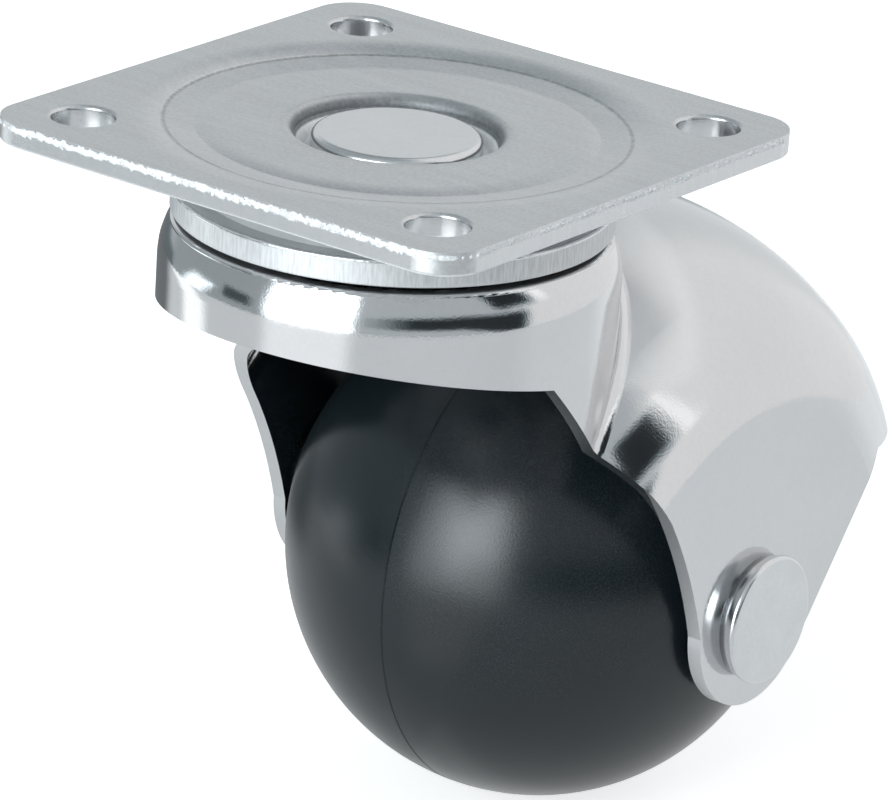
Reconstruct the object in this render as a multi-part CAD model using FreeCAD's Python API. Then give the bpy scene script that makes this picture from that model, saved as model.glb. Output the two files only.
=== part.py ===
import FreeCAD, Part
import math
import os

# Ball castor on a square plate. All sizes are in millimetres.
# The origin is the centre of the plate's top face, on the swivel axis, with +Z up.
# +X runs along the wheel's axle and +Y is the side to which the wheel trails.

# Square top plate
PLATE_SIDE = 55.0
PLATE_THICKNESS = 2.3
PLATE_CORNER_RADIUS = 4.5
PLATE_EDGE_ROUND = 0.35
HOLE_PITCH = 41.5
HOLE_DIAMETER = 6.0
HOLE_EDGE_ROUND = 0.4
DISH_RADIUS = 21.9
DISH_SHOULDER_WIDTH = 3.1
DISH_SHOULDER_DEPTH = 0.6
DISH_BAND_WIDTH = 2.9
DISH_BAND_DEPTH = 0.3
DISH_CROWN_WIDTH = 2.0
DISH_CROWN_RISE = 0.2
RECESS_RADIUS = 9.7
RECESS_SLOPE_WIDTH = 1.0
RECESS_DEPTH = 2.3
RECESS_LIP_ROUND = 1.1

# Kingpin rivet, headed in the recess of the plate and peened under the lower race
KINGPIN_RADIUS = 6.0
KINGPIN_HEAD_RADIUS = 8.1
KINGPIN_HEAD_HEIGHT = 1.85
KINGPIN_HEAD_ROUND = 0.75
KINGPIN_STEP = 1.0
KINGPIN_PEEN_RADIUS = 7.6
KINGPIN_PEEN_HEIGHT = 1.8
RIVET_CLEARANCE = 0.05

# Two rows of loose bearing balls
BEARING_BALL_DIAMETER = 4.0
RACE_CLEARANCE = 0.15
UPPER_PITCH_RADIUS = 16.0
UPPER_BALL_COUNT = 22
LOWER_PITCH_RADIUS = 10.8
LOWER_BALL_COUNT = 15

# Upper race disc, pressed from thicker sheet, with a sheared rim
DISC_RADIUS = 20.9
DISC_THICKNESS = 2.4
DISC_RIM_DROP = 1.4
DISC_RIM_WIDTH = 2.2
DISC_SHOULDER_WIDTH = 1.6
DISC_EDGE_ROUND = 0.2

# Lower race cup
CUP_THICKNESS = 1.4
CUP_RIM_HEIGHT = 1.0

# Fork, one pressing: crown, hood and two ears
FORK_SHEET = 1.5
CROWN_RADIUS = 21.85
CROWN_LIP_RADIUS = 20.9
CROWN_LIP_ROUND = 0.45
CROWN_SHOULDER_HEIGHT = 4.25
CROWN_FOLD_ROUND = 1.0
CROWN_GAP = 0.6
HOOD_RADIUS = 37.2
HOOD_DROP = 3.2
HOOD_CREASE_RADIUS = 1.6
HOOD_RIM_ABOVE_AXLE = 11.7
EAR_FACE = 26.3
EAR_BEND_RADIUS = 14.4
EAR_EDGE_ANGLE = 5.0
EAR_EDGE_ROUND = 1.5
EAR_END_RADIUS = 9.1
EAR_REAR_CORNER = 20.3
EAR_FRONT_HOLLOW = 0.9
CROWN_FRONT_EDGE_Z = -16.75
CROWN_EDGE_SLOPE = 10.2
NECK_START_Y = -2.6
NECK_END_Y = 9.2
NECK_SLOPE = 46.9

# Axle and its sleeve
AXLE_TRAIL = 26.95
AXLE_DEPTH = 49.8
AXLE_RADIUS = 4.0
AXLE_HEAD_RADIUS = 6.45
AXLE_HEAD_HEIGHT = 2.0
AXLE_HEAD_ROUND = 0.4
AXLE_HEAD_FLARE = 0.5
AXLE_PEEN_RADIUS = 6.1
AXLE_PEEN_HEIGHT = 1.7
SLEEVE_WALL = 0.95

# Ball wheel, two moulded halves that meet on its middle plane
WHEEL_RADIUS = 25.0
WHEEL_WALL = 3.0
WHEEL_SIDE_CLEARANCE = 1.1
WHEEL_SEAM_CHAMFER = 0.12
WHEEL_RUNNING_CLEARANCE = 0.08
WHEEL_END_CLEARANCE = 0.25
HUB_RADIUS = 8.0
HUB_BOSS_RADIUS = 7.0
RIB_COUNT = 6
RIB_THICKNESS = 2.0
LAP_LENGTH = 1.2
LAP_THICKNESS = 1.2
LAP_CLEARANCE = 0.05

# Places and radii that follow from the sizes above
ORIGIN = FreeCAD.Vector(0, 0, 0)
UP = FreeCAD.Vector(0, 0, 1)
ALONG_AXLE = FreeCAD.Vector(1, 0, 0)
AXLE_CENTRE = FreeCAD.Vector(0, AXLE_TRAIL, -AXLE_DEPTH)
BEARING_BALL_RADIUS = BEARING_BALL_DIAMETER / 2
RACE_RADIUS = BEARING_BALL_RADIUS + RACE_CLEARANCE
DISH_LOW_Z = -DISH_SHOULDER_DEPTH - DISH_BAND_DEPTH
DISH_FLOOR_Z = DISH_LOW_Z + DISH_CROWN_RISE
RECESS_FLOOR_Z = DISH_FLOOR_Z - RECESS_DEPTH
DISC_TOP_Z = RECESS_FLOOR_Z - PLATE_THICKNESS
DISC_RIM_TOP_Z = DISC_TOP_Z - DISC_RIM_DROP
DISC_RIM_BOTTOM_Z = DISC_RIM_TOP_Z - DISC_THICKNESS
CROWN_LIP_Z = DISC_RIM_BOTTOM_Z - CROWN_GAP
UPPER_BALL_Z = CROWN_LIP_Z
HOOD_CENTRE = FreeCAD.Vector(0, AXLE_TRAIL, CROWN_LIP_Z - HOOD_DROP - HOOD_RADIUS)
RACE_SPAN = 2 * RACE_RADIUS + FORK_SHEET
RACE_STEP = UPPER_PITCH_RADIUS - LOWER_PITCH_RADIUS
RACE_RISE = math.sqrt(RACE_SPAN ** 2 - RACE_STEP ** 2)
RACE_LEAN = math.degrees(math.atan2(RACE_RISE, RACE_STEP))
LOWER_BALL_Z = UPPER_BALL_Z - RACE_RISE
CUP_FLOOR_Z = LOWER_BALL_Z - RACE_RADIUS
CUP_BOTTOM_Z = CUP_FLOOR_Z - CUP_THICKNESS
KINGPIN_BORE = KINGPIN_RADIUS + RIVET_CLEARANCE
KINGPIN_STEP_RADIUS = KINGPIN_RADIUS - KINGPIN_STEP
CUP_BORE = KINGPIN_STEP_RADIUS + RIVET_CLEARANCE
EAR_INNER_FACE = EAR_FACE - FORK_SHEET
AXLE_BORE = AXLE_RADIUS + RIVET_CLEARANCE
SLEEVE_RADIUS = AXLE_BORE + SLEEVE_WALL
HUB_BORE = SLEEVE_RADIUS + WHEEL_RUNNING_CLEARANCE
HUB_BOSS_FACE = EAR_INNER_FACE - WHEEL_END_CLEARANCE
BALL_AT_BOSS = math.sqrt(WHEEL_RADIUS ** 2 - HUB_BOSS_RADIUS ** 2)
WHEEL_FACE = min(EAR_INNER_FACE - WHEEL_SIDE_CLEARANCE, BALL_AT_BOSS)

# Points closer than this are one point, and an edge this close to a surface lies on it
SAME_PLACE = 0.001

# Cutting tools reach this far, well past the whole castor
REACH = 2 * (HOOD_RADIUS + AXLE_DEPTH)


def polar(centre, radius, degrees):
    """Point on a circle in a section plane."""
    turn = math.radians(degrees)
    return (centre[0] + radius * math.cos(turn), centre[1] + radius * math.sin(turn))


def arc(centre, radius, start, end):
    """Arc step of an outline, given by its angles in degrees: its middle and end points."""
    return (polar(centre, radius, (start + end) / 2), polar(centre, radius, end))


def outline(steps, place):
    """Closed wire through section points, where a step of two points is an arc."""
    edges = []
    here = steps[0]
    for step in list(steps[1:]) + [steps[0]]:
        if isinstance(step[0], tuple):
            middle, end = step
            edges.append(Part.Arc(place(here), place(middle), place(end)).toShape())
            here = end
        elif place(here).distanceToPoint(place(step)) > SAME_PLACE:
            edges.append(Part.makeLine(place(here), place(step)))
            here = step
    return Part.Wire(edges)


def about_swivel(steps):
    """Solid turned about the swivel axis from a section of (radius, z) steps."""
    wire = outline(steps, lambda point: FreeCAD.Vector(point[0], 0, point[1]))
    return Part.Face(wire).revolve(ORIGIN, UP, 360)


def about_axle(steps, centre=AXLE_CENTRE):
    """Solid turned about the axle, or a line beside it, from a section of (x, radius) steps."""
    wire = outline(steps, lambda point: centre + FreeCAD.Vector(point[0], 0, point[1]))
    return Part.Face(wire).revolve(centre, ALONG_AXLE, 360)


def axle_cylinder(radius, start, end):
    """Round bar along the axle from one x to another."""
    base = AXLE_CENTRE + FreeCAD.Vector(start, 0, 0)
    return Part.makeCylinder(radius, end - start, base, ALONG_AXLE)


def cap_sphere(radius, height):
    """Radius of the ball that a cap of this size is cut from, and the cap's half angle in degrees."""
    sphere = (radius ** 2 + height ** 2) / (2 * height)
    return sphere, math.degrees(math.asin(radius / sphere))


def edges_at(shape, test):
    """Edges of a shape whose middle point passes a test."""
    chosen = []
    for edge in shape.Edges:
        if test(edge.valueAt((edge.FirstParameter + edge.LastParameter) / 2)):
            chosen.append(edge)
    return chosen


def make_top_plate():
    """Square plate with rounded corners, screw holes, a shallow dish and a recess for the kingpin."""
    half = PLATE_SIDE / 2
    corner = FreeCAD.Vector(-half, -half, -PLATE_THICKNESS)
    blank = Part.makeBox(PLATE_SIDE, PLATE_SIDE, PLATE_THICKNESS, corner)
    upright = edges_at(blank, lambda p: math.hypot(p.x, p.y) > PLATE_SIDE * math.sqrt(0.5) - SAME_PLACE)
    blank = blank.makeFillet(PLATE_CORNER_RADIUS, upright)
    under = edges_at(blank, lambda p: abs(p.z + PLATE_THICKNESS) < SAME_PLACE)
    blank = blank.makeFillet(PLATE_EDGE_ROUND, under)
    rim = DISH_RADIUS + DISH_SHOULDER_WIDTH
    blank = blank.cut(Part.makeCylinder(rim, PLATE_THICKNESS, FreeCAD.Vector(0, 0, -PLATE_THICKNESS)))
    band = DISH_RADIUS - DISH_BAND_WIDTH
    floor = band - DISH_CROWN_WIDTH
    shoulder, shoulder_turn = cap_sphere(DISH_SHOULDER_WIDTH, DISH_SHOULDER_DEPTH)
    crown, crown_turn = cap_sphere(DISH_CROWN_WIDTH, DISH_CROWN_RISE)
    lip = RECESS_RADIUS + RECESS_LIP_ROUND
    under_z = DISH_FLOOR_Z - PLATE_THICKNESS
    # The underside follows the upper face one sheet below it
    pressed = about_swivel([
        (rim, 0), arc((rim, -shoulder), shoulder, 90, 90 + shoulder_turn), (band, DISH_LOW_Z),
        arc((floor, DISH_FLOOR_Z - crown), crown, 90 - crown_turn, 90), (lip, DISH_FLOOR_Z),
        arc((lip, DISH_FLOOR_Z - RECESS_LIP_ROUND), RECESS_LIP_ROUND, 90, 180),
        (RECESS_RADIUS - RECESS_SLOPE_WIDTH, RECESS_FLOOR_Z), (KINGPIN_BORE, RECESS_FLOOR_Z),
        (KINGPIN_BORE, DISC_TOP_Z), (RECESS_RADIUS + RECESS_SLOPE_WIDTH, DISC_TOP_Z),
        (lip + RECESS_SLOPE_WIDTH, under_z), (floor, under_z), (band, DISH_LOW_Z - PLATE_THICKNESS),
        (DISH_RADIUS, -DISH_SHOULDER_DEPTH - PLATE_THICKNESS), (rim, -PLATE_THICKNESS),
    ])
    plate = blank.fuse(pressed).removeSplitter()
    pitch = HOLE_PITCH / 2
    for x in (-pitch, pitch):
        for y in (-pitch, pitch):
            plate = plate.cut(Part.makeCylinder(HOLE_DIAMETER / 2, REACH, FreeCAD.Vector(x, y, -REACH / 2)))
    rims = edges_at(plate, lambda p: abs(p.z) < SAME_PLACE
                    and abs(math.hypot(abs(p.x) - pitch, abs(p.y) - pitch) - HOLE_DIAMETER / 2) < SAME_PLACE)
    return plate.makeFillet(HOLE_EDGE_ROUND, rims)


def make_upper_race_disc():
    """Pressed disc under the plate, with a stepped top, a sheared rim and a ball groove in its underside."""
    groove = (UPPER_PITCH_RADIUS, UPPER_BALL_Z)
    hub_z = DISC_TOP_Z - DISC_THICKNESS
    outer = math.degrees(math.asin((DISC_RIM_BOTTOM_Z - UPPER_BALL_Z) / RACE_RADIUS))
    inner = 180 - math.degrees(math.asin((hub_z - UPPER_BALL_Z) / RACE_RADIUS))
    shoulder = DISC_RADIUS - DISC_RIM_WIDTH
    disc = about_swivel([
        (KINGPIN_BORE, DISC_TOP_Z), (shoulder - DISC_SHOULDER_WIDTH, DISC_TOP_Z), (shoulder, DISC_RIM_TOP_Z),
        (DISC_RADIUS, DISC_RIM_TOP_Z), (DISC_RADIUS, DISC_RIM_BOTTOM_Z),
        polar(groove, RACE_RADIUS, outer), arc(groove, RACE_RADIUS, outer, inner), (KINGPIN_BORE, hub_z),
    ])
    rim = edges_at(disc, lambda p: math.hypot(p.x, p.y) > DISC_RADIUS - SAME_PLACE
                   and p.z < DISC_RIM_BOTTOM_Z + SAME_PLACE)
    return disc.makeFillet(DISC_EDGE_ROUND, rim)


def make_lower_race_cup():
    """Shallow cup on the kingpin's step that holds the lower row of balls up against the crown."""
    centre = (LOWER_PITCH_RADIUS, LOWER_BALL_Z)
    outside = RACE_RADIUS + CUP_THICKNESS
    rim_drop = RACE_RADIUS - CUP_RIM_HEIGHT
    inner_rim = -math.degrees(math.asin(rim_drop / RACE_RADIUS))
    outer_rim = -math.degrees(math.asin(rim_drop / outside))
    return about_swivel([
        (CUP_BORE, CUP_FLOOR_Z), (LOWER_PITCH_RADIUS, CUP_FLOOR_Z), arc(centre, RACE_RADIUS, -90, inner_rim),
        polar(centre, outside, outer_rim), arc(centre, outside, outer_rim, -90), (CUP_BORE, CUP_BOTTOM_Z),
    ])


def make_kingpin():
    """Rivet on the swivel axis: flat head with a round edge, shank, step for the lower cup and peened end."""
    head_z = RECESS_FLOOR_Z + KINGPIN_HEAD_HEIGHT
    head_bend = (KINGPIN_HEAD_RADIUS - KINGPIN_HEAD_ROUND, head_z - KINGPIN_HEAD_ROUND)
    sphere, spread = cap_sphere(KINGPIN_PEEN_RADIUS, KINGPIN_PEEN_HEIGHT)
    peen = (0, CUP_BOTTOM_Z - KINGPIN_PEEN_HEIGHT + sphere)
    return about_swivel([
        (0, head_z), (head_bend[0], head_z), arc(head_bend, KINGPIN_HEAD_ROUND, 90, 0),
        (KINGPIN_HEAD_RADIUS, RECESS_FLOOR_Z), (KINGPIN_RADIUS, RECESS_FLOOR_Z),
        (KINGPIN_RADIUS, CUP_FLOOR_Z), (KINGPIN_STEP_RADIUS, CUP_FLOOR_Z),
        (KINGPIN_STEP_RADIUS, CUP_BOTTOM_Z), (KINGPIN_PEEN_RADIUS, CUP_BOTTOM_Z),
        arc(peen, sphere, spread - 90, -90),
    ])


def make_ball_row(count, pitch_radius, z):
    """Ring of equal loose bearing balls."""
    balls = []
    for index in range(count):
        x, y = polar((0, 0), pitch_radius, 360 * index / count)
        balls.append(Part.makeSphere(BEARING_BALL_RADIUS, FreeCAD.Vector(x, y, z)))
    return Part.makeCompound(balls)


def make_crown():
    """Outer form of the crown: wall, shoulder, lip, upper ball groove and the ridge over the lower balls."""
    upper = (UPPER_PITCH_RADIUS, UPPER_BALL_Z)
    lower = (LOWER_PITCH_RADIUS, LOWER_BALL_Z)
    ridge = RACE_RADIUS + FORK_SHEET
    shoulder_z = CROWN_LIP_Z - CROWN_SHOULDER_HEIGHT
    rise = CROWN_SHOULDER_HEIGHT - CROWN_LIP_ROUND
    inset = CROWN_RADIUS - CROWN_LIP_RADIUS
    bulge = (rise ** 2 + inset ** 2) / (2 * inset)
    lip = (CROWN_LIP_RADIUS - CROWN_LIP_ROUND, CROWN_LIP_Z - CROWN_LIP_ROUND)
    return about_swivel([
        (CROWN_RADIUS, -REACH), (CROWN_RADIUS, shoulder_z),
        arc((CROWN_RADIUS - bulge, shoulder_z), bulge, 0, math.degrees(math.asin(rise / bulge))),
        arc(lip, CROWN_LIP_ROUND, 0, 90), polar(upper, RACE_RADIUS, 0),
        arc(upper, RACE_RADIUS, 0, RACE_LEAN - 180), arc(lower, ridge, RACE_LEAN, 180),
        (LOWER_PITCH_RADIUS - ridge, -REACH),
    ])


def make_crown_hollow():
    """Space under the crown, one sheet inside it, with the hole for the kingpin in its middle."""
    upper = (UPPER_PITCH_RADIUS, UPPER_BALL_Z)
    lower = (LOWER_PITCH_RADIUS, LOWER_BALL_Z)
    groove = RACE_RADIUS + FORK_SHEET
    ceiling_z = UPPER_BALL_Z - groove
    wall = CROWN_RADIUS - FORK_SHEET
    fold = (wall - CROWN_FOLD_ROUND, ceiling_z - CROWN_FOLD_ROUND)
    return about_swivel([
        (0, -REACH), (wall, -REACH), (wall, fold[1]), arc(fold, CROWN_FOLD_ROUND, 0, 90),
        (UPPER_PITCH_RADIUS, ceiling_z), arc(upper, groove, -90, RACE_LEAN - 180),
        arc(lower, RACE_RADIUS, RACE_LEAN, 180), (0, LOWER_BALL_Z),
    ])


def make_hood(inset):
    """Dome about the wheel, drawn in to flat ears with a narrow round edge; inset is no sheet or one."""
    face = EAR_FACE - inset
    dome = HOOD_RADIUS - inset
    bend = EAR_BEND_RADIUS - inset
    bend_x = face - bend * math.cos(math.radians(EAR_EDGE_ANGLE))
    bend_r = math.sqrt((dome - bend) ** 2 - bend_x ** 2)
    spread = math.degrees(math.atan2(bend_r, bend_x))
    edge_x = face - EAR_EDGE_ROUND
    edge_r = bend_r + math.sqrt((bend - EAR_EDGE_ROUND) ** 2 - (edge_x - bend_x) ** 2)
    edge_turn = math.degrees(math.atan2(edge_r - bend_r, edge_x - bend_x))
    return about_axle([
        (-face, 0), (-face, edge_r), arc((-edge_x, edge_r), EAR_EDGE_ROUND, 180, 180 - edge_turn),
        arc((-bend_x, bend_r), bend, 180 - edge_turn, 180 - spread),
        arc((0, 0), dome, 180 - spread, spread), arc((bend_x, bend_r), bend, spread, edge_turn),
        arc((edge_x, edge_r), EAR_EDGE_ROUND, edge_turn, 0), (face, 0),
    ], HOOD_CENTRE)


def make_fork_trim():
    """Side outline of the pressing, wider than the fork: crown edge, neck, ears and hood rim."""
    axle = (AXLE_TRAIL, -AXLE_DEPTH)
    crown_fall = math.tan(math.radians(CROWN_EDGE_SLOPE))
    neck_fall = math.tan(math.radians(NECK_SLOPE))
    front = (-REACH, CROWN_FRONT_EDGE_Z + (REACH - CROWN_RADIUS) * crown_fall)
    neck = (NECK_START_Y, CROWN_FRONT_EDGE_Z - (NECK_START_Y + CROWN_RADIUS) * crown_fall)
    knee = (NECK_END_Y, neck[1] - (NECK_END_Y - NECK_START_Y) * neck_fall)
    end_front = polar(axle, EAR_END_RADIUS, 180)
    chord = (end_front[0] - knee[0], end_front[1] - knee[1])
    hollow = EAR_FRONT_HOLLOW / math.hypot(*chord)
    hollow_point = (knee[0] + chord[0] / 2 - chord[1] * hollow, knee[1] + chord[1] / 2 + chord[0] * hollow)
    rear = (axle[0] + EAR_REAR_CORNER, axle[1] + HOOD_RIM_ABOVE_AXLE)
    rear_angle = math.degrees(math.atan2(HOOD_RIM_ABOVE_AXLE, EAR_REAR_CORNER))
    tangent_angle = math.degrees(math.acos(EAR_END_RADIUS / math.hypot(EAR_REAR_CORNER, HOOD_RIM_ABOVE_AXLE)))
    side = outline([
        front, neck, knee, (hollow_point, end_front),
        arc(axle, EAR_END_RADIUS, -180, rear_angle - tangent_angle),
        rear, (REACH, rear[1]), (REACH, REACH), (-REACH, REACH),
    ], lambda point: FreeCAD.Vector(-REACH, point[0], point[1]))
    return Part.Face(side).extrude(FreeCAD.Vector(2 * REACH, 0, 0))


def make_fork_hood():
    """The pressing: crown and hood with a soft crease between them, hollowed and trimmed from the side."""
    body = make_hood(0).fuse(make_crown())
    crease = edges_at(body, lambda p: abs(math.hypot(p.x, p.y) - CROWN_RADIUS) < SAME_PLACE
                      and abs((p - HOOD_CENTRE).Length - HOOD_RADIUS) < 2 * FORK_SHEET)
    body = body.makeFillet(HOOD_CREASE_RADIUS, crease)
    hollow = make_hood(FORK_SHEET).fuse(make_crown_hollow())
    fork = body.cut(hollow).common(make_fork_trim())
    return fork.cut(axle_cylinder(AXLE_BORE, -REACH, REACH))


def make_axle_rivet():
    """Axle through both ears, with a flat head on the right and a peened end on the left."""
    head_face = EAR_FACE + AXLE_HEAD_HEIGHT
    head_bend = (head_face - AXLE_HEAD_ROUND, AXLE_HEAD_RADIUS - AXLE_HEAD_ROUND)
    sphere, spread = cap_sphere(AXLE_PEEN_RADIUS, AXLE_PEEN_HEIGHT)
    peen_end = -EAR_FACE - AXLE_PEEN_HEIGHT
    return about_axle([
        (peen_end, 0), arc((peen_end + sphere, 0), sphere, 180, 180 - spread),
        (-EAR_FACE, AXLE_RADIUS), (EAR_FACE, AXLE_RADIUS),
        (EAR_FACE, AXLE_HEAD_RADIUS + AXLE_HEAD_FLARE),
        (head_bend[0], AXLE_HEAD_RADIUS), arc(head_bend, AXLE_HEAD_ROUND, 90, 0), (head_face, 0),
    ])


def make_axle_sleeve():
    """Tube on the axle that keeps the ears apart and carries the wheel."""
    tube = axle_cylinder(SLEEVE_RADIUS, -EAR_INNER_FACE, EAR_INNER_FACE)
    return tube.cut(axle_cylinder(AXLE_BORE, -EAR_INNER_FACE, EAR_INNER_FACE))


def make_wheel_shell():
    """Right-hand half of the ball wheel: wall, flat face, hub with a boss, and ribs in the hollow."""
    face_angle = math.degrees(math.acos(WHEEL_FACE / WHEEL_RADIUS))
    seam_angle = math.degrees(math.acos(WHEEL_SEAM_CHAMFER / WHEEL_RADIUS))
    seam = polar((0, 0), WHEEL_RADIUS, seam_angle)
    ball = about_axle([
        (0, HUB_BORE), (HUB_BOSS_FACE, HUB_BORE), (HUB_BOSS_FACE, HUB_BOSS_RADIUS),
        (WHEEL_FACE, HUB_BOSS_RADIUS), polar((0, 0), WHEEL_RADIUS, face_angle),
        arc((0, 0), WHEEL_RADIUS, face_angle, seam_angle), (0, seam[1] - WHEEL_SEAM_CHAMFER),
    ])
    inside = WHEEL_RADIUS - WHEEL_WALL
    floor = WHEEL_FACE - WHEEL_WALL
    floor_angle = math.degrees(math.acos(floor / inside))
    pocket = about_axle([
        (0, 0), (floor, 0), polar((0, 0), inside, floor_angle), arc((0, 0), inside, floor_angle, 90),
    ])
    pocket = pocket.cut(axle_cylinder(HUB_RADIUS, 0, WHEEL_FACE))
    for index in range(RIB_COUNT):
        foot = AXLE_CENTRE - FreeCAD.Vector(0, RIB_THICKNESS / 2, 0)
        rib = Part.makeBox(WHEEL_RADIUS, RIB_THICKNESS, WHEEL_RADIUS, foot)
        rib.rotate(AXLE_CENTRE, ALONG_AXLE, 360 * index / RIB_COUNT)
        pocket = pocket.cut(rib)
    return ball.cut(pocket)


def make_wheel_half_left():
    """Half of the ball wheel with a lip that laps into the other half at the seam."""
    lip_inside = WHEEL_RADIUS - WHEEL_WALL
    lip = axle_cylinder(lip_inside + LAP_THICKNESS, 0, LAP_LENGTH)
    lip = lip.cut(axle_cylinder(lip_inside, 0, LAP_LENGTH))
    return make_wheel_shell().mirror(AXLE_CENTRE, ALONG_AXLE).fuse(lip).removeSplitter()


def make_wheel_half_right():
    """Half of the ball wheel with the seat for the other half's lip."""
    lip_inside = WHEEL_RADIUS - WHEEL_WALL
    seat_depth = LAP_LENGTH + LAP_CLEARANCE
    seat = axle_cylinder(lip_inside + LAP_THICKNESS + LAP_CLEARANCE, 0, seat_depth)
    seat = seat.cut(axle_cylinder(lip_inside - LAP_CLEARANCE, 0, seat_depth))
    return make_wheel_shell().cut(seat)


pieces = {
    "top_plate": make_top_plate(),
    "upper_race_disc": make_upper_race_disc(),
    "kingpin": make_kingpin(),
    "lower_race_cup": make_lower_race_cup(),
    "upper_bearing_balls": make_ball_row(UPPER_BALL_COUNT, UPPER_PITCH_RADIUS, UPPER_BALL_Z),
    "lower_bearing_balls": make_ball_row(LOWER_BALL_COUNT, LOWER_PITCH_RADIUS, LOWER_BALL_Z),
    "fork_hood": make_fork_hood(),
    "axle_rivet": make_axle_rivet(),
    "axle_sleeve": make_axle_sleeve(),
    "wheel_half_left": make_wheel_half_left(),
    "wheel_half_right": make_wheel_half_right(),
}

os.makedirs("parts", exist_ok=True)
for name, shape in pieces.items():
    shape.exportStep("parts/" + name + ".step")
    print(name, len(shape.Solids), "solids", shape.isValid(), round(shape.Volume, 1), "mm3")
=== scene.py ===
import math

import bmesh
import bpy
import numpy as np
from mathutils import Matrix, Vector


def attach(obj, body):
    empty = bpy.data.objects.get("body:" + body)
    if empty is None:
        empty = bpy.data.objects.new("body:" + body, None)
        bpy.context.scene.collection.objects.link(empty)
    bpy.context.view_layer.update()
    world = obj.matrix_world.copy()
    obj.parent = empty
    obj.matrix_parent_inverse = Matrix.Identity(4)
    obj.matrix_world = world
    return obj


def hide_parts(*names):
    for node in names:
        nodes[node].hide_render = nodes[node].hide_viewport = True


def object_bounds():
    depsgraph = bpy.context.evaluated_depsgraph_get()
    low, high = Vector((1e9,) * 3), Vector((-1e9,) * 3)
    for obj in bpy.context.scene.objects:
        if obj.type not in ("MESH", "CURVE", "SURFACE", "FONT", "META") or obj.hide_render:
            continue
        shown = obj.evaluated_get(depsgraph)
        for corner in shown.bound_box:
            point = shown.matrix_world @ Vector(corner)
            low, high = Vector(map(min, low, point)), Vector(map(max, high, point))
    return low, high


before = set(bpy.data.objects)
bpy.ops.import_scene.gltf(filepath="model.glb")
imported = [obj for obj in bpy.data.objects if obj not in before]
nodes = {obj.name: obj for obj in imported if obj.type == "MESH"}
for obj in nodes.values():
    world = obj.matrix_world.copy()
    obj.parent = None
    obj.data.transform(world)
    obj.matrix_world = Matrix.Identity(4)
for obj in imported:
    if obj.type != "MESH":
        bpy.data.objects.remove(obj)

cad_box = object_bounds()

# Top plate: a square of zinc-plated steel sheet, blanked and dished in a press.
# The rolled upper face is satin; the sheared edges are paler, with a torn burr along their upper side.
# Four screws through the corner holes hold it under the furniture.


class Wire:
    """A shader socket that can stand in a sum: each operator on it adds a Math node to its node tree."""

    def __init__(self, tree, socket):
        self.tree = tree
        self.socket = socket

    def node(self, kind, settings, sockets, output=0):
        """Adds a node, its settings first and then its socket values or links, and gives an output."""
        made = self.tree.nodes.new(kind)
        for name, value in settings.items():
            setattr(made, name, value)
        for name, value in sockets.items():
            if isinstance(value, Wire):
                self.tree.links.new(value.socket, made.inputs[name])
            else:
                made.inputs[name].default_value = value
        return Wire(self.tree, made.outputs[output]) if len(made.outputs) else made

    def maths(self, operation, first, second=0.0):
        return self.node("ShaderNodeMath", {"operation": operation}, {0: first, 1: second})

    def __add__(self, other):
        return self.maths("ADD", self, other)

    def __radd__(self, other):
        return self.maths("ADD", other, self)

    def __sub__(self, other):
        return self.maths("SUBTRACT", self, other)

    def __rsub__(self, other):
        return self.maths("SUBTRACT", other, self)

    def __mul__(self, other):
        return self.maths("MULTIPLY", self, other)

    def __abs__(self):
        return self.maths("ABSOLUTE", self)

    def power(self, exponent):
        return self.maths("POWER", self, exponent)

    def larger(self, other):
        return self.maths("MAXIMUM", self, other)

    def ramp(self, low, high):
        """Smooth step that goes from 0 at low to 1 at high."""
        sockets = {"Value": self, "From Min": low, "From Max": high}
        return self.node("ShaderNodeMapRange", {"interpolation_type": "SMOOTHSTEP"}, sockets)

    def axes(self):
        """The three numbers of a vector."""
        return [self.node("ShaderNodeSeparateXYZ", {}, {0: self}, k) for k in range(3)]

    def scaled(self, scale):
        """A vector stretched along each axis."""
        return self.node("ShaderNodeMapping", {"vector_type": "POINT"}, {"Vector": self, "Scale": scale})

    def noise(self, scale, detail=2.0, roughness=0.5):
        """Cloudy pattern about 0.5, scale in features per metre."""
        sockets = {"Vector": self, "Scale": scale, "Detail": detail, "Roughness": roughness}
        return self.node("ShaderNodeTexNoise", {}, sockets)

    def tint(self, dark, light):
        """Colour between two, by this number."""
        sockets = {0: self, 6: (*dark, 1.0), 7: (*light, 1.0)}
        settings = {"data_type": "RGBA", "clamp_factor": False}
        return self.node("ShaderNodeMix", settings, sockets, 2)

    def bump(self, distance):
        """Normal that follows this number as a height, distance in metres."""
        return self.node("ShaderNodeBump", {}, {"Height": self, "Distance": distance})


def new_finish(name, constants):
    """A material with one Principled shader, its constants, and the Wire of its Object coordinates."""
    material = bpy.data.materials.new(name)
    material.use_nodes = True
    tree = material.node_tree
    shader = tree.nodes["Principled BSDF"]
    for socket, value in constants.items():
        shader.inputs[socket].default_value = value
    place = Wire(tree, tree.nodes.new("ShaderNodeTexCoord").outputs["Object"])
    return material, shader, place


def feed(shader, **sockets):
    """Links Wires to the shader's sockets; an underscore in a name stands for a space."""
    for name, wire in sockets.items():
        wire.tree.links.new(wire.socket, shader.inputs[name.replace("_", " ")])


def dress(node, material):
    """Gives a CAD piece one material."""
    slots = nodes[node].data.materials
    slots.clear()
    slots.append(material)


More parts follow.
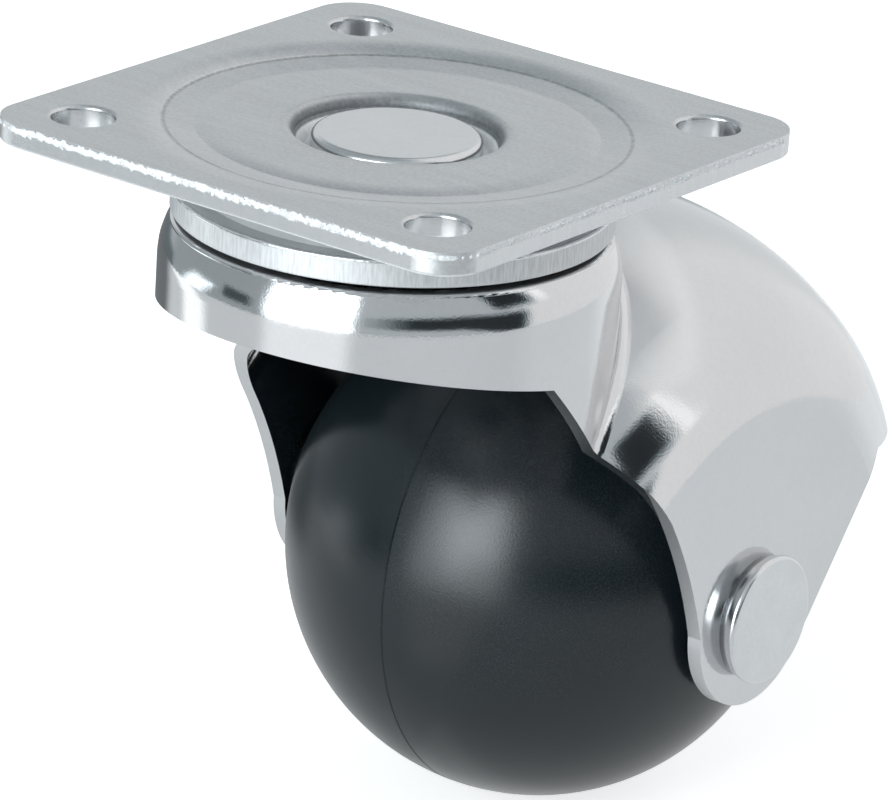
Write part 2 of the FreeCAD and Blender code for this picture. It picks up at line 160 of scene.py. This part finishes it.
PLATE_HALF = 0.0275
PLATE_CORNER = 0.0045
UNDERSIDE = (-0.0022, -0.002)
HOLE_PLACE = 0.02075
HOLE_RADIUS = 0.003
ZINC_DARK = (0.54, 0.55, 0.56)
ZINC_LIGHT = (0.68, 0.69, 0.70)
DISH_LINE = 0.0219
RECESS_RADIUS = 0.0116
HEAD_RADIUS = 0.0081
CREVICE_LEVEL = (-0.0012, -0.0006)
GROOVE_SIDES = (0.00008, 0.0003)
CUT_SKIN, CUT_START = 0.00012, 0.00002
TEAR_WANDER = 0.0012
TEAR_FOOT = (-0.00082, -0.00064)
TEAR_TOP = (-0.0002, -0.0001)
plate_zinc, shader, place = new_finish("plate_zinc", {})
x, y, z = place.axes()
streaks = place.scaled((45.0, 700.0, 45.0)).noise(1.0, 3.0)
clouds = place.noise(110.0, 3.0)
grain = place.noise(2600.0, 2.0)
cut_lines = place.scaled((2600.0, 2600.0, 160.0)).noise(1.0, 2.0)
tears = place.noise(2200.0, 3.0, 0.6)
at_edge = (abs(x) - PLATE_HALF).larger(abs(y) - PLATE_HALF).ramp(-CUT_SKIN, -CUT_START)
from_hole = ((abs(x) - HOLE_PLACE).power(2.0) + (abs(y) - HOLE_PLACE).power(2.0)).power(0.5)
in_hole = 1.0 - from_hole.ramp(HOLE_RADIUS + CUT_START, HOLE_RADIUS + CUT_SKIN)
sheared = at_edge.larger(in_hole)
ragged = z + (tears - 0.5) * TEAR_WANDER
torn_off = at_edge * ragged.ramp(*TEAR_FOOT) * (1.0 - ragged.ramp(*TEAR_TOP))
# Painted light: the underside's colour is lifted paler than the zinc; it is also less metallic and duller.
underside = 1.0 - z.ramp(*UNDERSIDE)
from_axis = (x * x + y * y).power(0.5)
# Painted shade: the colour is darkened in the recess round the kingpin's head.
crevice_shade = from_axis.ramp(HEAD_RADIUS, HEAD_RADIUS + 0.0006) * (1.0 - z.ramp(*CREVICE_LEVEL))
crevice_shade = crevice_shade * (1.0 - from_axis.ramp(RECESS_RADIUS - 0.001, RECESS_RADIUS)) * (1.0 - underside)
groove = (1.0 - abs(from_axis - DISH_LINE).ramp(*GROOVE_SIDES)) * (1.0 - underside)
# Painted shade: the colour is darkened along the dish's pressed ring, besides the bump that dents it.
pressed = groove * (0.5 + tears.ramp(0.4, 0.6) * 0.5)
tone = (streaks * 0.25 + clouds * 0.25 + grain * 0.5).ramp(0.28, 0.72) * (1.0 - sheared)
tone = tone + sheared * (0.55 + cut_lines * 0.5) + torn_off * (0.8 + tears.ramp(0.35, 0.6) * 0.6)
tone = tone - crevice_shade * 2.4 - pressed * 1.5 + underside * 1.8
relief = streaks * 0.3 + grain * 0.9 + clouds * 0.5
dull = torn_off + underside + crevice_shade
feed(shader, Base_Color=tone.tint(ZINC_DARK, ZINC_LIGHT),
     Metallic=1.0 - torn_off * 0.75 - underside * 0.5,
     Roughness=0.28 + clouds * 0.1 + grain * 0.08 - sheared * 0.12 + dull * 0.25,
     Normal=(relief + cut_lines * sheared * 1.2 - groove * 4.0).bump(0.00001))
dress("top_plate", plate_zinc)


def surface(name, points, ring):
    """Mesh of quads over a grid of points; each row is a closed loop, and in a ring the rows close too."""
    rows, columns = points.shape[:2]
    index = np.arange(rows * columns).reshape(rows, columns)
    here = index if ring else index[:-1]
    there = np.roll(index, -1, 0) if ring else index[1:]
    quads = np.stack([here, there, np.roll(there, -1, 1), np.roll(here, -1, 1)], -1)
    mesh = bpy.data.meshes.new(name)
    mesh.from_pydata(points.reshape(-1, 3).tolist(), [], quads.reshape(-1, 4).tolist())
    mesh.shade_smooth()
    made = bpy.data.objects.new(name, mesh)
    bpy.context.scene.collection.objects.link(made)
    return made


def rounded_square(half, corner, count):
    """Points and outward directions along a square with rounded corners, evenly spaced, anticlockwise."""
    flat = 2 * (half - corner)
    side = flat + math.pi * corner / 2
    run = np.linspace(0, 4 * side, count, endpoint=False)
    which = np.floor(run / side)
    along = run - which * side
    angle = np.clip((along - flat) / corner, 0, math.pi / 2)
    straight = np.minimum(along, flat) - flat / 2
    local = np.stack([half - corner + corner * np.cos(angle), straight + corner * np.sin(angle)], 1)
    outward = np.stack([np.cos(angle), np.sin(angle)], 1)
    cos, sin = np.cos(which * math.pi / 2), np.sin(which * math.pi / 2)
    turn = np.stack([np.stack([cos, -sin], 1), np.stack([sin, cos], 1)], 1)
    return np.einsum("nij,nj->ni", turn, local), np.einsum("nij,nj->ni", turn, outward)


def torn(count, width, seed):
    """Closed random line about 0: white noise smoothed over some points and scaled to unit spread."""
    source = np.random.default_rng(seed).normal(size=count)
    wave = np.minimum(np.arange(count), count - np.arange(count))
    smooth = np.fft.irfft(np.fft.rfft(source) * np.fft.rfft(np.exp(-(wave / width) ** 2)), count)
    return smooth / smooth.std()


def burr(name, line, outward, level, radius, uneven, seed):
    """Bead of torn metal along an edge: a small circle of uneven size, carried along a closed line."""
    count = len(line)
    swell = uneven * (torn(count, 2.0, seed) + torn(count, 9.0, seed + 1))
    size = radius * np.clip(1 + swell, 0.35, 1.6)
    section = np.linspace(0, 2 * math.pi, 8, endpoint=False)
    out = np.cos(section)[None, :] * size[:, None]
    up = np.sin(section)[None, :] * size[:, None]
    flat = line[:, None, :] + outward[:, None, :] * out[:, :, None]
    points = np.concatenate([flat, (level + up)[:, :, None]], 2)
    return surface(name, points, ring=True)


bright_burr, shader, place = new_finish("bright_burr", {"Metallic": 0.25})
specks = place.noise(3600.0, 2.0).ramp(0.35, 0.62)
feed(shader, Base_Color=specks.tint((0.62, 0.65, 0.67), (0.88, 0.89, 0.90)),
     Roughness=0.6 - specks * 0.15)

BURR_INSET = 0.00016
line, outward = rounded_square(PLATE_HALF - BURR_INSET, PLATE_CORNER - BURR_INSET, count=2400)
plate_burr = burr("plate_burr", line, outward, level=-0.00048, radius=0.0002, uneven=0.3, seed=3)
plate_burr.data.materials.append(bright_burr)
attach(plate_burr, "mount")

# Upper race disc: thick sheet pressed into a stepped disc with a ball groove underneath.
# The kingpin clamps it under the plate; its sheared rim keeps fine upright lines under a rolled lip.

DISC_RADIUS = 0.0209
RIM_SKIN = (DISC_RADIUS - 0.00025, DISC_RADIUS - 0.0001)
LIP_INSET = 0.0002
disc_zinc, shader, place = new_finish("disc_zinc", {})
x, y, z = place.axes()
around = x.maths("ARCTAN2", y, x)
radius = (x * x + y * y).power(0.5)
on_rim = radius.ramp(*RIM_SKIN)
unrolled = x.node("ShaderNodeCombineXYZ", {}, {0: around * 3.0, 1: z * 14.0})
rim_lines = unrolled.noise(32.0, 4.0, 0.6)
clouds = place.noise(180.0, 3.0)
grain = place.noise(2400.0, 2.0)
tone = (clouds * 0.6 + grain * 0.4) * (1.0 - on_rim)
tone = tone + on_rim * (rim_lines.ramp(0.3, 0.65) * 1.1 - 0.1)
feed(shader, Base_Color=tone.tint(ZINC_DARK, ZINC_LIGHT),
     Metallic=0.55 + on_rim * 0.1, Roughness=0.3 + grain * 0.1 + on_rim * 0.1,
     Normal=(clouds * 0.5 + grain * 0.2 + rim_lines * on_rim).bump(0.00001))
dress("upper_race_disc", disc_zinc)

turn = np.linspace(0, 2 * math.pi, 1200, endpoint=False)
circle = np.stack([np.cos(turn), np.sin(turn)], 1)
lip_line = circle * (DISC_RADIUS - LIP_INSET)
disc_burr = burr("disc_burr", lip_line, circle, level=-0.00682, radius=0.00024, uneven=0.03, seed=8)
rolled_lip, shader, place = new_finish("rolled_lip", {"Metallic": 1.0})
worn = place.noise(900.0, 3.0)
feed(shader, Base_Color=worn.tint(ZINC_DARK, (0.8, 0.82, 0.83)), Roughness=0.12 + worn * 0.2)
disc_burr.data.materials.append(rolled_lip)
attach(disc_burr, "mount")

# Kingpin: a steel rivet on the swivel axis, headed flat in the plate's recess.
# Its lower end is peened over the lower race cup, which it holds up against the balls.

pin_zinc, shader, place = new_finish("pin_zinc", {"Metallic": 1.0})
clouds = place.noise(260.0, 3.0)
grain = place.noise(2800.0, 3.0)
tone = (clouds * 0.5 + grain * 0.5).ramp(0.3, 0.7)
feed(shader, Base_Color=tone.tint((0.63, 0.64, 0.65), (0.69, 0.70, 0.71)),
     Roughness=0.18 + clouds * 0.08 + grain * 0.04,
     Normal=(clouds + grain * 0.1).bump(0.000012))
dress("kingpin", pin_zinc)

# Lower race cup: a thin pressed cup, hidden under the crown.
# It carries the lower row of balls and is held on the kingpin's step.

dress("lower_race_cup", disc_zinc)

# Bearing balls: two rows of loose steel balls, coloured almost black: painted shade for the dark gap they
# sit in.
# They roll between the disc and the crown, and between the crown and the lower cup.

ball_steel, shader, place = new_finish("ball_steel", {"Metallic": 0.6})
blotches = place.noise(700.0, 3.0).ramp(0.45, 0.7)
feed(shader, Base_Color=blotches.tint((0.012, 0.013, 0.013), (0.1, 0.1, 0.1)),
     Roughness=0.12 + blotches * 0.15)
dress("upper_bearing_balls", ball_steel)
dress("lower_bearing_balls", ball_steel)

# Fork hood: one sheet of steel drawn into crown, hood and ears, then plated with bright zinc.
# The plating is almost a mirror with a fine orange peel. It is duller and paler on the cut edges. Behind
# the crown, where the sheet is stretched most, it is duller, and its colour is made paler there: painted
# light.

EAR_INSIDE = 0.0249
DRAWN_INNER = (0.0222, 0.023)
DRAWN_OUTER = (0.027, 0.031)
DRAWN_LEVEL = (-0.0245, -0.0222)
fork_zinc, shader, place = new_finish("fork_zinc", {"Metallic": 1.0})
x, y, z = place.axes()
facing = Wire(place.tree, place.socket.node.outputs["Normal"]).axes()[0]
cut = abs(x).ramp(EAR_INSIDE - 0.0001, EAR_INSIDE) * (1.0 - abs(facing).ramp(0.3, 0.6))
clouds = place.noise(90.0, 3.0)
peel = place.noise(1500.0, 1.0)
grain = place.noise(4400.0, 1.0)
from_axis = (x * x + y * y).power(0.5)
# Painted light: the colour is made paler in the drawn zone behind the crown, which is also made duller.
drawn = from_axis.ramp(*DRAWN_INNER) * (1.0 - from_axis.ramp(*DRAWN_OUTER)) * z.ramp(*DRAWN_LEVEL)
tone = (clouds * 0.5 + peel * 0.2 + grain * 0.3).ramp(0.3, 0.7) + cut * 0.5 + drawn * 3.5
feed(shader, Base_Color=tone.tint((0.605, 0.61, 0.62), (0.64, 0.645, 0.655)),
     Roughness=0.075 + clouds * 0.04 + cut * 0.25 + drawn * 0.3,
     Normal=(peel * 0.25 + grain).bump(0.0000045))
dress("fork_hood", fork_zinc)

# Axle rivet and sleeve: a steel pin through both ears, with a flat head on one side.
# Its other end is peened; the sleeve between the ears keeps them apart and carries the wheel.

dress("axle_sleeve", disc_zinc)

AXLE_PLACE = (0.0, 0.02695, -0.0498)
EAR_FACE = 0.0263
SHANK_RADIUS = 0.004
PEEN_RADIUS, PEEN_HEIGHT = 0.0061, 0.0017
FOOT_RADIUS = 0.0060
EDGE_RADIUS, EDGE_ROUND = 0.00645, 0.00045
HEAD_HEIGHT, HEAD_CROWN = 0.002, 0.00006
peen_sphere = (PEEN_RADIUS ** 2 + PEEN_HEIGHT ** 2) / (2 * PEEN_HEIGHT)
rise = np.linspace(0.02, math.asin(PEEN_RADIUS / peen_sphere), 16)
peen_x = -EAR_FACE - PEEN_HEIGHT + peen_sphere * (1 - np.cos(rise))
peen = np.stack([peen_x, peen_sphere * np.sin(rise)], 1)
bend = np.linspace(0, math.pi / 2, 10)
edge_x = EAR_FACE + HEAD_HEIGHT - HEAD_CROWN - EDGE_ROUND
flat_radius = EDGE_RADIUS - EDGE_ROUND
edge = np.stack([edge_x + EDGE_ROUND * np.sin(bend), flat_radius + EDGE_ROUND * np.cos(bend)], 1)
inward = np.linspace(0.96, 0.02, 12)
face = np.stack([EAR_FACE + HEAD_HEIGHT - HEAD_CROWN * inward ** 2, flat_radius * inward], 1)
shank = np.array([[-EAR_FACE, SHANK_RADIUS], [EAR_FACE, SHANK_RADIUS], [EAR_FACE, FOOT_RADIUS]])


def about_axle(name, profile):
    """Surface of revolution: a profile of places along the axle and radii, turned round it and closed."""
    along, far = profile[:, :1], profile[:, 1:]
    turn = np.linspace(0, 2 * math.pi, 96, endpoint=False)[None, :]
    points = np.stack([along + 0 * turn, far * np.cos(turn), far * np.sin(turn)], 2)
    made = surface(name, points + np.array(AXLE_PLACE), ring=False)
    shape = bmesh.new()
    shape.from_mesh(made.data)
    bmesh.ops.holes_fill(shape, edges=[edge for edge in shape.edges if edge.is_boundary])
    bmesh.ops.recalc_face_normals(shape, faces=shape.faces)
    shape.to_mesh(made.data)
    shape.free()
    made.data.shade_smooth()
    return made


riveted_axle = about_axle("riveted_axle", np.concatenate([peen, shank, edge, face]))
riveted_axle.data.materials.append(pin_zinc)
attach(riveted_axle, "fork")
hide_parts("axle_rivet")

# Ball wheel: two hollow halves of black moulded plastic that meet at a fine seam.
# The moulded skin is satin with a fine grain, and has faint clouds and dust in it.

wheel_black, shader, place = new_finish("wheel_black", {"IOR": 1.48})
clouds = place.noise(120.0, 4.0)
skin = place.noise(5600.0, 2.0)
dust = place.noise(5200.0, 1.0).ramp(0.72, 0.8)
tone = clouds * 0.4 + skin.ramp(0.32, 0.68) * 0.5 + dust * 0.3
feed(shader, Base_Color=tone.tint((0.002, 0.0055, 0.0075), (0.014, 0.0195, 0.0225)),
     Roughness=0.17 + clouds * 0.1 + skin * 0.05,
     Normal=(skin * 3.0 + clouds * 0.4).bump(0.000004))
dress("wheel_half_left", wheel_black)
dress("wheel_half_right", wheel_black)

# Studio: a pale table under the ball in a white room, with grey and dark cards round the camera.
# One tall soft window in front gives the light; the camera sees only the white of the room.
# Bearings and azimuths are in degrees, 0 to the front of the plate and 90 to the axle's flat head.


def rays(tree, kind):
    """Wire that is 1 for one kind of ray, from the Light Path node."""
    return Wire(tree, tree.nodes.new("ShaderNodeLightPath").outputs[kind])


def window(value, low, high, soft):
    """Soft-edged range of a number: 1 between low and high, 0 outside."""
    return value.ramp(low - soft, low + soft) * (1.0 - value.ramp(high - soft, high + soft))


DEGREES = 180 / math.pi
TABLE_Y = 0.02
table_z = cad_box[0].z
turn = np.linspace(0, 2 * math.pi, 96, endpoint=False)
reach = np.array([0.0, 0.03, 0.08, 0.16, 0.3])
spread = np.stack([reach[:, None] * np.cos(turn), reach[:, None] * np.sin(turn) + TABLE_Y,
                   np.full((len(reach), len(turn)), table_z)], 2)
table = surface("table", spread, ring=False)
pale_table = bpy.data.materials.new("pale_table")
pale_table.use_nodes = True
tree = pale_table.node_tree
tree.nodes.clear()
place = Wire(tree, tree.nodes.new("ShaderNodeTexCoord").outputs["Object"])
x, y, z = place.axes()
seen = rays(tree, "Is Camera Ray")
bearing = x.maths("ARCTAN2", x, 0.0 - y) * DEGREES
# The table glows. For rays other than the camera's it carries painted light, a pool of window light in
# front and a bright streak, and painted shade, darker sectors under the cards, which also darken its
# colour.
sunny = window(bearing, -22.0, 20.0, 5.0) * (1.0 - y.ramp(-0.03, -0.01))
rear = abs(bearing).ramp(150.0, 165.0)
distance = (x * x + y * y).power(0.5)
shade = window(bearing, -150.0, -95.0, 6.0) * distance.ramp(0.07, 0.12)
gleam = window(bearing + (distance - 0.2) * 120.0, -80.0, -62.0, 4.0) * distance.ramp(0.09, 0.15)
mirrored = rays(tree, "Is Glossy Ray").larger(rays(tree, "Is Transmission Ray"))
card_shade = (0.53 - bearing.ramp(95.0, 115.0) * 0.10 - rear * 0.23) * (1.0 - shade) + shade
pale = (seen * 0.72).larger(mirrored * 0.68) * (1.0 - card_shade * (1.0 - seen))
glow = pale + (sunny * 0.42 + gleam * 0.8) * (1.0 - seen)
grey = (1.0 - shade * (1.0 - seen) * 0.6).tint((0.0, 0.0, 0.0), (0.62, 0.627, 0.635))
paper = place.node("ShaderNodeBsdfDiffuse", {}, {"Color": grey})
light = place.node("ShaderNodeEmission", {}, {"Color": (0.995, 1.0, 1.0, 1.0), "Strength": glow})
both = place.node("ShaderNodeAddShader", {}, {0: paper, 1: light})
place.node("ShaderNodeOutputMaterial", {}, {"Surface": both})
table.data.materials.append(pale_table)

world = bpy.data.worlds.new("studio")
bpy.context.scene.world = world
world.use_nodes = True
tree = world.node_tree
tree.nodes.clear()
look = Wire(tree, tree.nodes.new("ShaderNodeTexCoord").outputs["Generated"])
x, y, z = look.axes()
azimuth = x.maths("ARCTAN2", x, 0.0 - y) * DEGREES
height = x.maths("ARCSINE", z) * DEGREES
dim_front = window(azimuth, -112.0, 98.0, 10.0) * (0.38 + window(azimuth, -100.0, -24.0, 8.0) * 0.16)
high_back = window(azimuth, -154.0, -105.0, 6.0) * window(height, 30.0, 75.0, 6.0) * 0.62
ceiling = height.ramp(70.0, 78.0) * 0.55
low_back = window(azimuth, -165.0, -112.0, 8.0) * 0.17
beside = (azimuth - 75.0).larger(0.0)
camera_card = window(azimuth, 24.0, 109.0, 4.0) * (0.5 + azimuth.ramp(25.0, 52.0) * 0.46)
camera_card = camera_card * (height + beside * 0.4).ramp(-9.0, -2.0)
camera_card = camera_card * (1.0 - (height + beside * 0.15).ramp(10.0, 18.0))
leaning = azimuth + height * 0.5
side_card = window(leaning, 99.0, 121.0, 3.0) * window(height, 13.0, 39.0, 4.0) * 0.97
left_card = window(azimuth, -52.0, -30.0, 5.0) * window(height, -8.0, 8.0, 4.0) * 0.9
rear_card = window(azimuth, -150.0, -92.0, 5.0) * (1.0 - height.ramp(-7.0, 1.0)) * 0.8
cards = dim_front
for card in (high_back, ceiling, low_back, camera_card, side_card, left_card, rear_card):
    cards = cards.larger(card)
spots = window(azimuth - height * 0.8, -72.0, -56.0, 4.0) * window(height, -16.0, 0.0, 3.0) * 1.6
spots = spots + window(leaning, 124.0, 129.0, 2.0) * window(height, 12.0, 44.0, 4.0) * 0.4
sill = height + window(azimuth, -7.0, 4.0, 3.0) * 7.0
panes = window(azimuth, -23.0, 20.0, 4.0) * height.ramp(-18.0, -10.0) * (1.0 - sill.ramp(33.0, 41.0))
bright = 3.8 + sill.ramp(2.0, 18.0) * window(azimuth, -10.0, 22.0, 8.0) * 5.2
seen = rays(tree, "Is Camera Ray")
mirrored = rays(tree, "Is Glossy Ray").larger(rays(tree, "Is Transmission Ray"))
room = (0.85 + mirrored * 0.15) * (1.0 - cards) + spots
strength = seen + (1.0 - seen) * (room * (1.0 - panes) + panes * bright)
colour = (cards * (1.0 - seen)).tint((1.0, 1.0, 1.0), (0.78, 0.97, 1.05))
backdrop = look.node("ShaderNodeBackground", {}, {"Color": colour, "Strength": strength})
look.node("ShaderNodeOutputWorld", {}, {"Surface": backdrop})

# Camera at the photograph's place, with its long lens.
# It looks down at the castor's front and its right-hand ear.

camera_data = bpy.data.cameras.new("camera")
camera_data.sensor_fit = "HORIZONTAL"
camera_data.sensor_width = 36.0
camera_data.lens = 262.82
camera_data.clip_start = 0.01
camera_data.clip_end = 50.0
camera = bpy.data.objects.new("camera", camera_data)
right = Vector((0.79051, 0.60968, 0.05813))
up = Vector((-0.25685, 0.24386, 0.93518))
back = Vector((0.55598, -0.75420, 0.34937))
camera.matrix_world = Matrix.Translation((0.34785, -0.46150, 0.18810)) @ Matrix(
    ((right.x, up.x, back.x), (right.y, up.y, back.y), (right.z, up.z, back.z))).to_4x4()
bpy.context.scene.collection.objects.link(camera)
bpy.context.scene.camera = camera
bpy.context.scene.view_settings.view_transform = "Standard"
